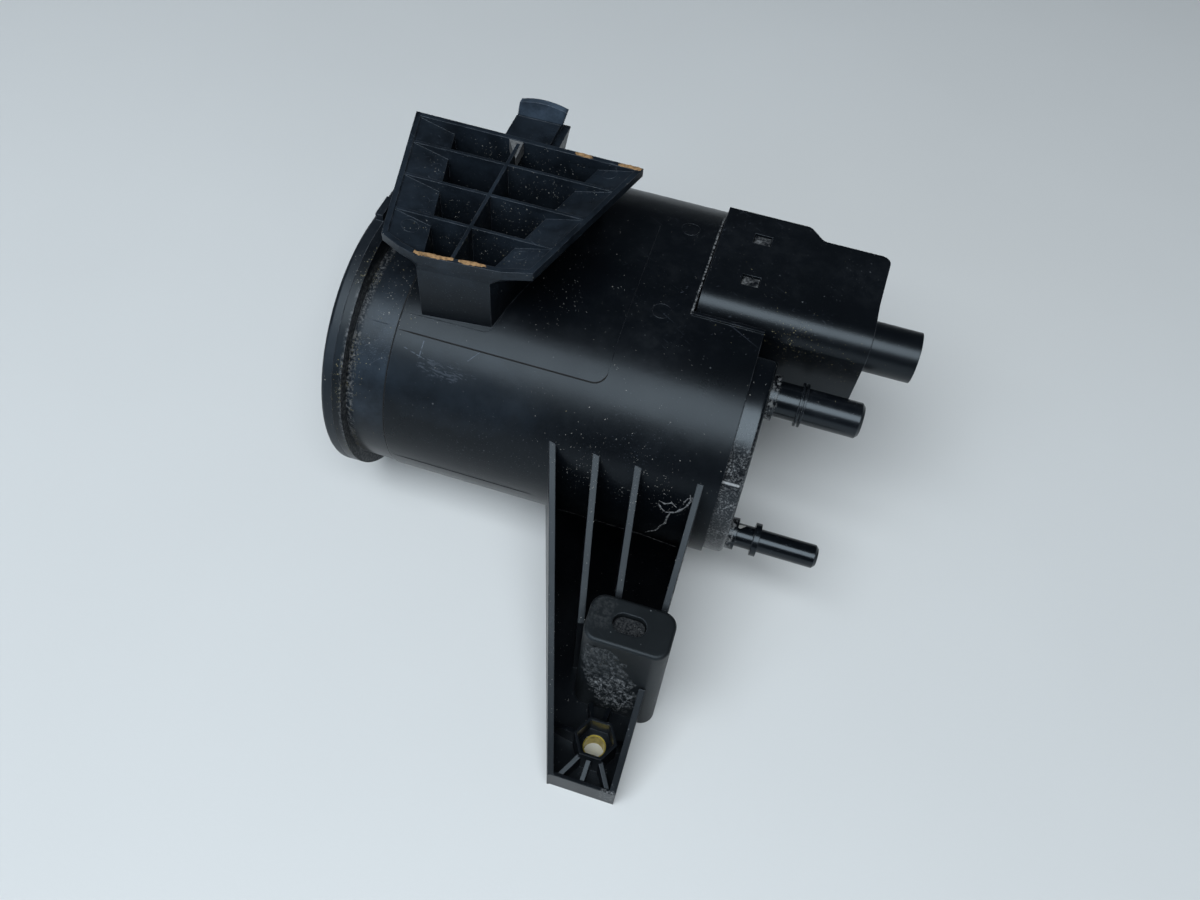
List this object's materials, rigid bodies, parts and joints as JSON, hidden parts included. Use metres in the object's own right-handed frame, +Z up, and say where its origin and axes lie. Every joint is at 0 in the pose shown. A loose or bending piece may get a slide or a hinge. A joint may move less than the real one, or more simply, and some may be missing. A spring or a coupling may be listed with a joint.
{
  "type": "charcoal canister",
  "caption": "Moulded vapour canister with two side spigots, a vent port on a box housing, a ribbed foot, a hooked tab and a bolt arm with a rubber buffer.",
  "frame": {"origin": "centre of the arm's bolt bore, on the face that it seats on", "axes": "+X along the canister towards the spigots, +Y from the arm's tip to the canister, +Z up, away from the bolt's seat"},
  "size_m": [0.1775, 0.2065, 0.1141],
  "materials": {
    "moulded_black": "satin moulded polyamide, scuffed and dusty",
    "gloss_black": "smooth moulded polyamide, dusty at the roots",
    "buffer_rubber": "matte moulded rubber, scuffed",
    "seal_rubber": "smooth rubber",
    "filter_foam": "open-cell foam",
    "fleece": "needled fleece",
    "carbon": "packed carbon pellets",
    "natural_plastic": "natural moulded polyamide",
    "plated_steel": "yellow passivated zinc plating",
    "spring_steel": "drawn spring wire"
  },
  "bodies": {
    "root": {"canister_body": "moulded_black", "end_cap": "moulded_black", "port_manifold": "gloss_black", "vent_housing": "moulded_black", "vent_housing_base": "moulded_black", "vent_seal": "seal_rubber", "vent_filter": "filter_foam", "buffer_block": "buffer_rubber", "arm_bushing": "plated_steel", "pressure_plate_main": "natural_plastic", "pressure_plate_vent": "natural_plastic", "fleece_main_cap_side": "fleece", "fleece_main_port_side": "fleece", "fleece_vent_cap_side": "fleece", "fleece_vent_port_side": "fleece", "carbon_bed_main": "carbon", "carbon_bed_vent": "carbon", "spring_main_near": "spring_steel", "spring_main_middle": "spring_steel", "spring_vent": "spring_steel"}
  },
  "joints": []
}
